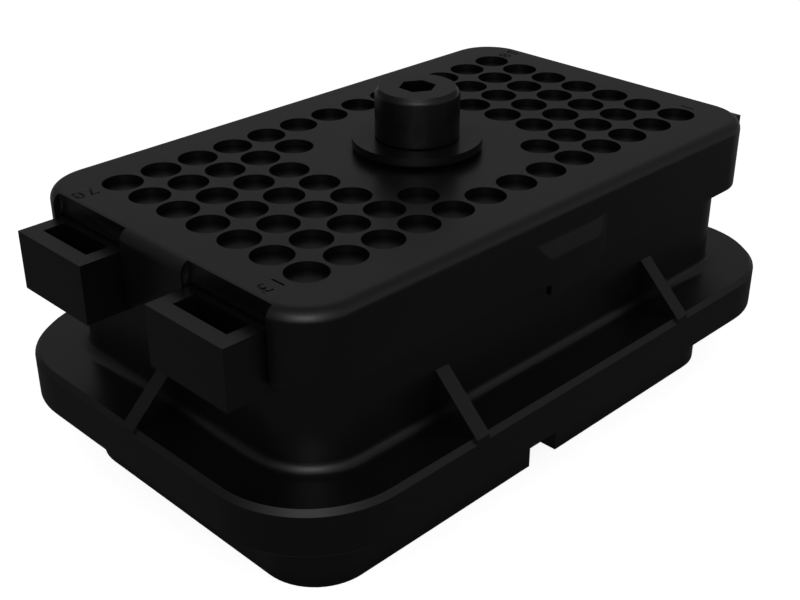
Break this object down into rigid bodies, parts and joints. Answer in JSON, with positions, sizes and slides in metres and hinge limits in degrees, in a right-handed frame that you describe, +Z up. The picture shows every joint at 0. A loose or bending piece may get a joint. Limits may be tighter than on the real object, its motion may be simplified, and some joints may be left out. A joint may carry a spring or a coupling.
{
  "type": "rectangular multi-way connector plug",
  "caption": "Rectangular sealed multi-way plug with a perforated rear cover, a flanged shell, strap loops at both ends and a central captive jackscrew.",
  "frame": {"origin": "on the jackscrew's axis, on the plane of the nose's rim", "axes": "+X along the long side, +Y across it, +Z up from the mating nose to the wire entries"},
  "size_m": [0.0888, 0.0566, 0.0428],
  "materials": {
    "shell_plastic": "black moulded polyester, satin",
    "cover_plastic": "black moulded polyester, satin",
    "carrier_plastic": "black moulded polyester, satin",
    "seal_rubber": "black silicone rubber",
    "black_steel": "black coated steel",
    "plain_steel": "stainless steel"
  },
  "bodies": {
    "plug": {"shell": "shell_plastic", "rear_cover": "cover_plastic", "contact_carrier": "carrier_plastic", "wire_seal": "seal_rubber", "rim_seal": "seal_rubber", "washer_seal": "seal_rubber", "screw_sleeve": "plain_steel"},
    "floating_washer": {"screw_washer": "black_steel"},
    "screw": {"jackscrew": "black_steel", "thrust_washer": "plain_steel", "retaining_clip": "plain_steel"}
  },
  "joints": [
    {"name": "screw_float", "type": "slide", "parent": "plug", "child": "floating_washer", "axis": [0, 0, 1], "range_m": [0, 0.0015]},
    {"name": "screw_turn", "type": "hinge", "parent": "floating_washer", "child": "screw", "pos_m": [0, 0, 0.0367], "axis": [0, 0, 1], "continuous": true}
  ]
}
